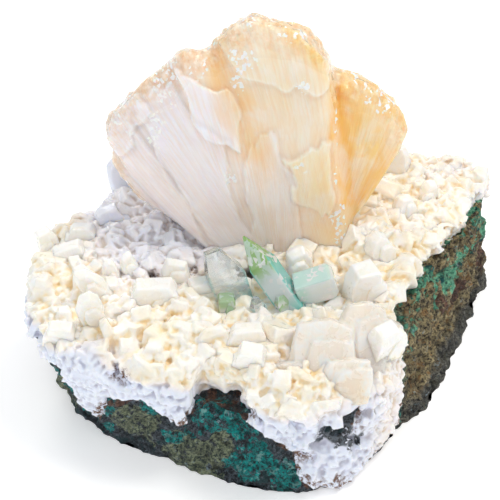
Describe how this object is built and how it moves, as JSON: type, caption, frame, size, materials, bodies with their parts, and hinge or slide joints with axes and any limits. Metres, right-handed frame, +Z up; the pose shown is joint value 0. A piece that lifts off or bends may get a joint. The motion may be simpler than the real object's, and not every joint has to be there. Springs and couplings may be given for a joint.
{
  "type": "stilbite with apophyllite",
  "caption": "Mineral specimen: a fan of peach stilbite and clear green apophyllite crystals in a white zeolite crust on dark basalt matrix with a flat foot.",
  "frame": {"origin": "middle of the bounding box footprint, on the flat foot the specimen rests on", "axes": "+Z up, away from the foot; +X to the right and -Y to the front, the side the stilbite fan faces"},
  "size_m": [0.1216, 0.0972, 0.088],
  "materials": {
    "basalt_matrix": "matt vesicular basalt with teal and olive mineral lining",
    "zeolite_druse": "sugary white to cream crystal crust, golden in the hollows",
    "stilbite_fan": "pearly translucent, striated, warm peach to orange",
    "stilbite_plate": "pearly translucent plates",
    "stilbite_blade": "satin translucent white to cream",
    "apophyllite_green": "clear pale green, vitreous",
    "apophyllite_clear": "clear with aqua edges, vitreous"
  },
  "bodies": {
    "root": {"matrix_rock": "basalt_matrix", "zeolite_crust": "zeolite_druse", "stilbite_fan": "stilbite_fan", "stilbite_plates_front": "stilbite_plate", "stilbite_blade_left_chisel": "stilbite_blade", "stilbite_blade_left_pale": "stilbite_blade", "stilbite_blade_pair_tall": "stilbite_blade", "stilbite_blade_pair_short": "stilbite_blade", "stilbite_blade_jagged": "stilbite_blade", "stilbite_blade_foot_right": "stilbite_blade", "stilbite_blade_right_high": "stilbite_blade", "stilbite_blade_right_back": "stilbite_blade", "stilbite_blade_right_rim": "stilbite_blade", "stilbite_blade_rear": "stilbite_blade", "stilbite_blade_rear_right": "stilbite_blade", "stilbite_block_left": "stilbite_blade", "stilbite_block_left_rim": "stilbite_blade", "stilbite_block_left_corner": "stilbite_blade", "stilbite_block_left_back": "stilbite_blade", "stilbite_block_under_fan": "stilbite_blade", "stilbite_block_right": "stilbite_blade", "stilbite_block_front": "stilbite_blade", "stilbite_block_right_front": "stilbite_blade", "stilbite_block_middle": "stilbite_blade", "stilbite_block_before_green": "stilbite_blade", "stilbite_block_left_front": "stilbite_blade", "apophyllite_tall_green": "apophyllite_green", "apophyllite_clear_left": "apophyllite_clear", "apophyllite_aqua_right": "apophyllite_green", "apophyllite_cube_green": "apophyllite_green", "apophyllite_cube_front": "apophyllite_green", "apophyllite_chip_olive": "apophyllite_green", "apophyllite_chip_clear": "apophyllite_clear"}
  },
  "joints": []
}
